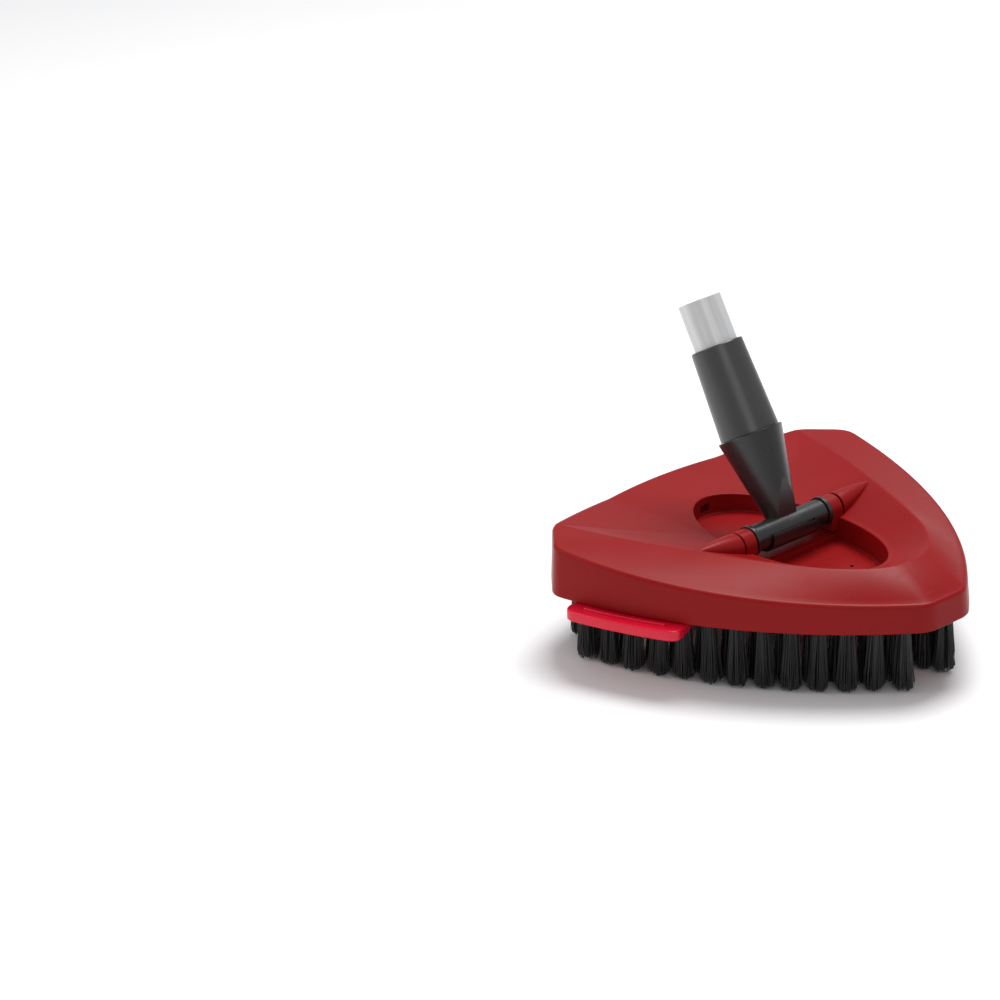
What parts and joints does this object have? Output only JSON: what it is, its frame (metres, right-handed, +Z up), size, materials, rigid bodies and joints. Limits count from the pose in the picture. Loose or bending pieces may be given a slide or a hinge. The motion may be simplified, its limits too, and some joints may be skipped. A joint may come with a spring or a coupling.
{
  "type": "triangular scrub brush mop head",
  "caption": "Three-cornered scrubbing mop head: moulded cover, T-joint with swivelling handle foot, and a snap-in ring of bristle tufts.",
  "frame": {"origin": "on the floor, under the middle of the cover's length and width", "axes": "+Z up; X along the T-joint's bar; the single front corner points to -Y; the handle leans towards +Y at rest"},
  "size_m": [0.2756, 0.2388, 0.1985],
  "materials": {
    "cover_red": "moulded plastic, fine satin grain",
    "ring_red": "smooth moulded plastic, brighter and glossier than the cover",
    "dark_plastic": "dark grey moulded plastic, satin",
    "collar_plastic": "grey moulded plastic, satin",
    "acetal": "natural white bearing plastic",
    "steel": "zinc-plated steel",
    "tube_finish": "silver-grey coated steel tube",
    "bristle": "black nylon filament"
  },
  "bodies": {
    "brush": {"brush_ring": "ring_red", "outer_tufts_right_1": "bristle", "outer_tufts_right_2": "bristle", "outer_tufts_right_3": "bristle", "outer_tufts_rear_1": "bristle", "outer_tufts_rear_2": "bristle", "outer_tufts_rear_3": "bristle", "outer_tufts_left_1": "bristle", "outer_tufts_left_2": "bristle", "outer_tufts_left_3": "bristle", "inner_tufts_right_1": "bristle", "inner_tufts_right_2": "bristle", "inner_tufts_right_3": "bristle", "inner_tufts_rear_1": "bristle", "inner_tufts_rear_2": "bristle", "inner_tufts_rear_3": "bristle", "inner_tufts_left_1": "bristle", "inner_tufts_left_2": "bristle", "inner_tufts_left_3": "bristle"},
    "head": {"head_cover": "cover_red", "bearing_left": "cover_red", "bearing_right": "cover_red"},
    "tee": {"t_joint": "dark_plastic", "bar_clip": "dark_plastic", "end_ring_right": "dark_plastic", "end_ring_left": "dark_plastic", "cross_axle": "steel", "swivel_screw": "steel", "thrust_washer": "acetal"},
    "handle": {"collar": "collar_plastic", "swivel_bush": "acetal", "handle_tube": "tube_finish", "tube_plug": "dark_plastic"}
  },
  "joints": [
    {"name": "brush_release", "type": "slide", "parent": "brush", "child": "head", "axis": [0, 0, 1], "range_m": [0, 0.08]},
    {"name": "handle_tilt", "type": "hinge", "parent": "head", "child": "tee", "pos_m": [0, 0.01027, 0.0656], "axis": [1, 0, 0], "range_deg": [-43, 100]},
    {"name": "handle_spin", "type": "hinge", "parent": "tee", "child": "handle", "pos_m": [0, 0.01027, 0.0656], "axis": [0, 0.4894, 0.8721], "continuous": true}
  ]
}
